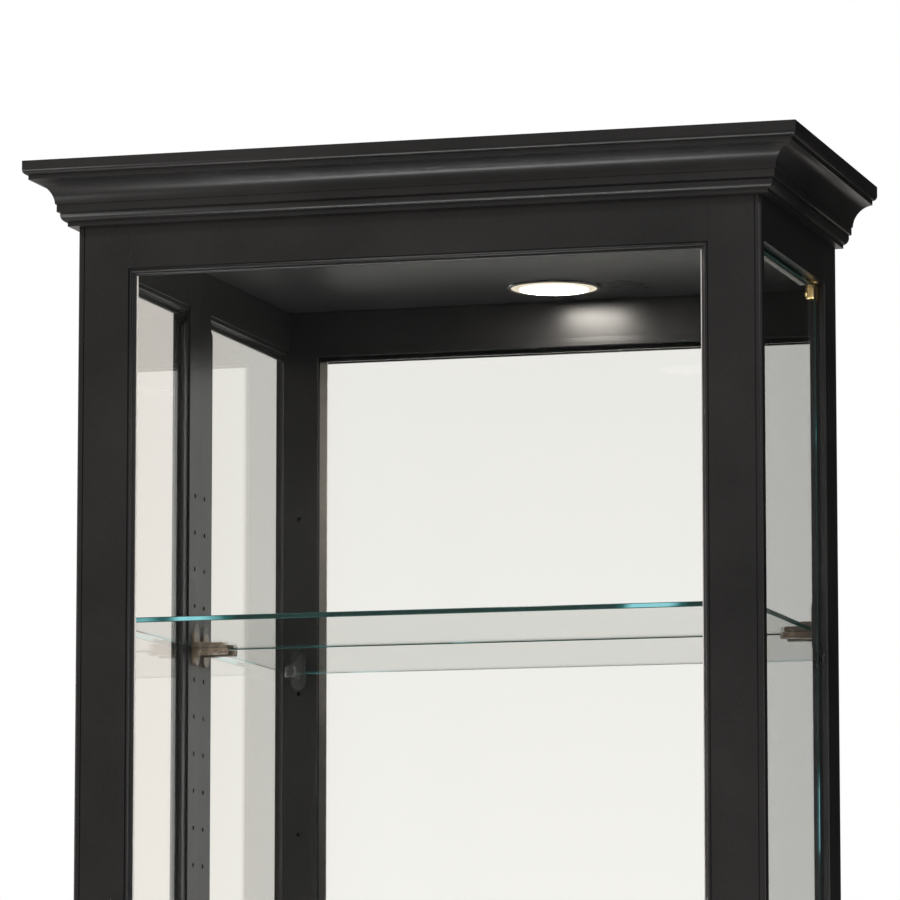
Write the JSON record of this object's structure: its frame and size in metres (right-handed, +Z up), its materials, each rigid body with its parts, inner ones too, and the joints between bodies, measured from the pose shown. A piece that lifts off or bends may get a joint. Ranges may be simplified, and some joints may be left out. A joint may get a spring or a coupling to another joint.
{
  "type": "glass display showcase",
  "caption": "Free-standing display showcase: crown moulding, fixed glass front and left side, right glass door on pivots, mirrored back, glass shelves on supports, ceiling light.",
  "frame": {"origin": "bottom centre of the bounding box, on the floor under the levellers", "axes": "+Z up, -Y towards the front glass, +X to the right as seen from the front"},
  "size_m": [0.778, 0.379, 1.93],
  "materials": {
    "painted_wood": "satin black paint",
    "raw_wood": "bare",
    "backing_board": "matt black-stained hardboard",
    "clear_glass": "clear float glass",
    "door_glass": "clear float glass with ground edges",
    "shelf_glass": "clear float glass with polished green edges",
    "frosted_glass": "frosted",
    "bulb_glass": "clear",
    "mirror": "silvered",
    "brass": "polished",
    "steel": "zinc plated",
    "lamp_metal": "painted",
    "lamp_trim": "dark bronze",
    "reflector": "bright",
    "ceramic": "glazed",
    "clear_plastic": "translucent",
    "bronze_plastic": "translucent bronze",
    "rubber": "matt"
  },
  "bodies": {
    "cabinet": {"crown_front": "painted_wood", "crown_left": "painted_wood", "crown_right": "painted_wood", "base_cap_moulding": "painted_wood", "plinth_front": "painted_wood", "plinth_left": "painted_wood", "plinth_right": "painted_wood", "front_stile_left": "painted_wood", "front_stile_right": "painted_wood", "front_top_rail": "painted_wood", "front_bottom_rail": "painted_wood", "glazing_bead": "painted_wood", "front_glass": "clear_glass", "glass_gaskets": "clear_plastic", "glass_retainers": "painted_wood", "rear_post_left": "painted_wood", "rear_post_right": "painted_wood", "side_top_rail_left": "painted_wood", "side_top_rail_right": "painted_wood", "side_bottom_rail_left": "painted_wood", "side_bottom_rail_right": "painted_wood", "side_glass": "door_glass", "side_beads": "painted_wood", "side_glass_stops": "painted_wood", "door_stops": "clear_plastic", "hinge_sockets": "brass", "rear_rails": "painted_wood", "back_mirror": "mirror", "back_panel": "backing_board", "back_panel_screws": "steel", "cord_grommet": "rubber", "top_panel": "painted_wood", "ceiling_panel": "painted_wood", "lamp_housing": "lamp_metal", "lamp_trim": "lamp_trim", "lamp_lens": "frosted_glass", "lamp_reflector": "reflector", "lamp_bulb": "bulb_glass", "lamp_holder": "ceramic", "bottom_deck": "painted_wood", "deck_cleats": "raw_wood", "shelf_1": "shelf_glass", "shelf_2": "shelf_glass", "shelf_3": "shelf_glass", "shelf_4": "shelf_glass", "front_shelf_supports": "clear_plastic", "rear_shelf_supports": "bronze_plastic", "lock_strike": "brass", "corner_blocks": "raw_wood", "leveller_nuts": "steel"},
    "side_door": {"door_glass": "door_glass", "hinge_clamps": "brass", "hinge_screws": "brass", "lock_body": "brass"},
    "door_lock_cam": {"lock_cam": "brass"},
    "leveller_front_left": {"leveller_front_left": "steel"},
    "leveller_front_right": {"leveller_front_right": "steel"},
    "leveller_rear_left": {"leveller_rear_left": "steel"},
    "leveller_rear_right": {"leveller_rear_right": "steel"}
  },
  "joints": [
    {"name": "side_door_hinge", "type": "hinge", "parent": "cabinet", "child": "side_door", "pos_m": [0.3335, 0.1295, 0.992], "axis": [0, 0, 1], "range_deg": [0, 100]},
    {"name": "door_lock_turn", "type": "hinge", "parent": "side_door", "child": "door_lock_cam", "pos_m": [0.3335, -0.1045, 0.965], "axis": [-1, 0, 0], "range_deg": [0, 90]},
    {"name": "front_left_leveller_turn", "type": "hinge", "parent": "cabinet", "child": "leveller_front_left", "pos_m": [-0.29, -0.0905, 0.02], "axis": [0, 0, 1], "continuous": true},
    {"name": "front_right_leveller_turn", "type": "hinge", "parent": "cabinet", "child": "leveller_front_right", "pos_m": [0.29, -0.0905, 0.02], "axis": [0, 0, 1], "continuous": true},
    {"name": "rear_left_leveller_turn", "type": "hinge", "parent": "cabinet", "child": "leveller_rear_left", "pos_m": [-0.29, 0.1395, 0.02], "axis": [0, 0, 1], "continuous": true},
    {"name": "rear_right_leveller_turn", "type": "hinge", "parent": "cabinet", "child": "leveller_rear_right", "pos_m": [0.29, 0.1395, 0.02], "axis": [0, 0, 1], "continuous": true}
  ]
}
